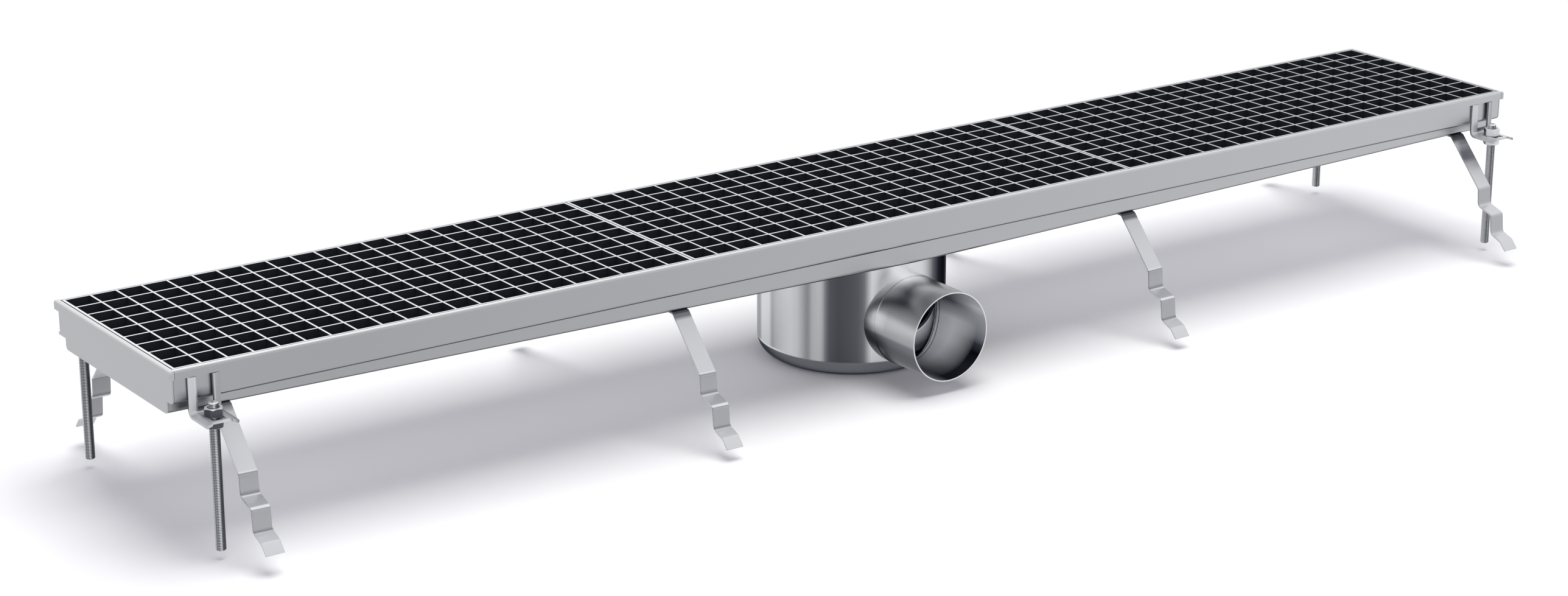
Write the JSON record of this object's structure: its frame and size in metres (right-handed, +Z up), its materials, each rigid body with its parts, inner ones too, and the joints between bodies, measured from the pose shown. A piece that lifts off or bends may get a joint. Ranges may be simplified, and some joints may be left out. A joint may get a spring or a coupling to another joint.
{
  "type": "channel drain",
  "caption": "Long shallow box channel drain with flush mesh gratings, screw-adjustable legs, bent strip anchors and a round trap bowl with a horizontal outlet spigot.",
  "frame": {"origin": "on the flat foot of the outlet bowl, under the middle of the channel in length and width", "axes": "+X along the channel, -Y the way the outlet spigot points, +Z up"},
  "size_m": [1.35, 0.326, 0.145],
  "materials": {
    "sheet_steel": "satin pickled sheet",
    "grating_steel": "bright welded mesh, polished top",
    "fastener_steel": "bright turned thread and nuts",
    "black_rubber": "matt moulded rubber"
  },
  "bodies": {
    "channel": {"channel_tray": "sheet_steel", "end_plate_left": "sheet_steel", "end_plate_right": "sheet_steel", "grating_1": "grating_steel", "grating_2": "grating_steel", "grating_3": "grating_steel", "bracket_front_left": "sheet_steel", "bracket_front_right": "sheet_steel", "bracket_back_left": "sheet_steel", "bracket_back_right": "sheet_steel", "anchor_front_left": "sheet_steel", "anchor_front_mid_left": "sheet_steel", "anchor_front_mid_right": "sheet_steel", "anchor_front_right": "sheet_steel", "anchor_back_left": "sheet_steel", "anchor_back_mid_left": "sheet_steel", "anchor_back_mid_right": "sheet_steel", "anchor_back_right": "sheet_steel", "outlet_bowl": "sheet_steel", "outlet_pipe": "sheet_steel", "trap_cup": "sheet_steel", "trap_dip_tube": "sheet_steel", "trap_seal": "black_rubber", "trap_handle": "sheet_steel"},
    "nut_upper_front_left": {"upper_nut_front_left": "fastener_steel"},
    "rod_front_left": {"threaded_rod_front_left": "fastener_steel"},
    "nut_lower_front_left": {"lower_nut_front_left": "fastener_steel"},
    "nut_upper_front_right": {"upper_nut_front_right": "fastener_steel"},
    "rod_front_right": {"threaded_rod_front_right": "fastener_steel"},
    "nut_lower_front_right": {"lower_nut_front_right": "fastener_steel"},
    "nut_upper_back_left": {"upper_nut_back_left": "fastener_steel"},
    "rod_back_left": {"threaded_rod_back_left": "fastener_steel"},
    "nut_lower_back_left": {"lower_nut_back_left": "fastener_steel"},
    "nut_upper_back_right": {"upper_nut_back_right": "fastener_steel"},
    "rod_back_right": {"threaded_rod_back_right": "fastener_steel"},
    "nut_lower_back_right": {"lower_nut_back_right": "fastener_steel"}
  },
  "joints": [
    {"name": "raise_rod_front_left", "type": "slide", "parent": "channel", "child": "rod_front_left", "axis": [0, 0, 1], "range_m": [-0.0025, 0.02125]},
    {"name": "turn_upper_nut_front_left", "type": "hinge", "parent": "channel", "child": "nut_upper_front_left", "pos_m": [-0.648, -0.1126, 0.1105], "axis": [0, 0, 1], "range_deg": [-6121, 721]},
    {"name": "turn_lower_nut_front_left", "type": "hinge", "parent": "channel", "child": "nut_lower_front_left", "pos_m": [-0.648, -0.1126, 0.1085], "axis": [0, 0, 1], "range_deg": [-6121, 721]},
    {"name": "raise_rod_front_right", "type": "slide", "parent": "channel", "child": "rod_front_right", "axis": [0, 0, 1], "range_m": [-0.0025, 0.02125]},
    {"name": "turn_upper_nut_front_right", "type": "hinge", "parent": "channel", "child": "nut_upper_front_right", "pos_m": [0.648, -0.1126, 0.1105], "axis": [0, 0, 1], "range_deg": [-6121, 721]},
    {"name": "turn_lower_nut_front_right", "type": "hinge", "parent": "channel", "child": "nut_lower_front_right", "pos_m": [0.648, -0.1126, 0.1085], "axis": [0, 0, 1], "range_deg": [-6121, 721]},
    {"name": "raise_rod_back_left", "type": "slide", "parent": "channel", "child": "rod_back_left", "axis": [0, 0, 1], "range_m": [-0.0025, 0.02125]},
    {"name": "turn_upper_nut_back_left", "type": "hinge", "parent": "channel", "child": "nut_upper_back_left", "pos_m": [-0.648, 0.1126, 0.1105], "axis": [0, 0, 1], "range_deg": [-6121, 721]},
    {"name": "turn_lower_nut_back_left", "type": "hinge", "parent": "channel", "child": "nut_lower_back_left", "pos_m": [-0.648, 0.1126, 0.1085], "axis": [0, 0, 1], "range_deg": [-6121, 721]},
    {"name": "raise_rod_back_right", "type": "slide", "parent": "channel", "child": "rod_back_right", "axis": [0, 0, 1], "range_m": [-0.0025, 0.02125]},
    {"name": "turn_upper_nut_back_right", "type": "hinge", "parent": "channel", "child": "nut_upper_back_right", "pos_m": [0.648, 0.1126, 0.1105], "axis": [0, 0, 1], "range_deg": [-6121, 721]},
    {"name": "turn_lower_nut_back_right", "type": "hinge", "parent": "channel", "child": "nut_lower_back_right", "pos_m": [0.648, 0.1126, 0.1085], "axis": [0, 0, 1], "range_deg": [-6121, 721]}
  ],
  "couplings": [
    {"joint": "turn_upper_nut_front_left", "follows": "raise_rod_front_left", "rad_per_m": -5026.5},
    {"joint": "turn_lower_nut_front_left", "follows": "raise_rod_front_left", "rad_per_m": -5026.5},
    {"joint": "turn_upper_nut_front_right", "follows": "raise_rod_front_right", "rad_per_m": -5026.5},
    {"joint": "turn_lower_nut_front_right", "follows": "raise_rod_front_right", "rad_per_m": -5026.5},
    {"joint": "turn_upper_nut_back_left", "follows": "raise_rod_back_left", "rad_per_m": -5026.5},
    {"joint": "turn_lower_nut_back_left", "follows": "raise_rod_back_left", "rad_per_m": -5026.5},
    {"joint": "turn_upper_nut_back_right", "follows": "raise_rod_back_right", "rad_per_m": -5026.5},
    {"joint": "turn_lower_nut_back_right", "follows": "raise_rod_back_right", "rad_per_m": -5026.5}
  ]
}
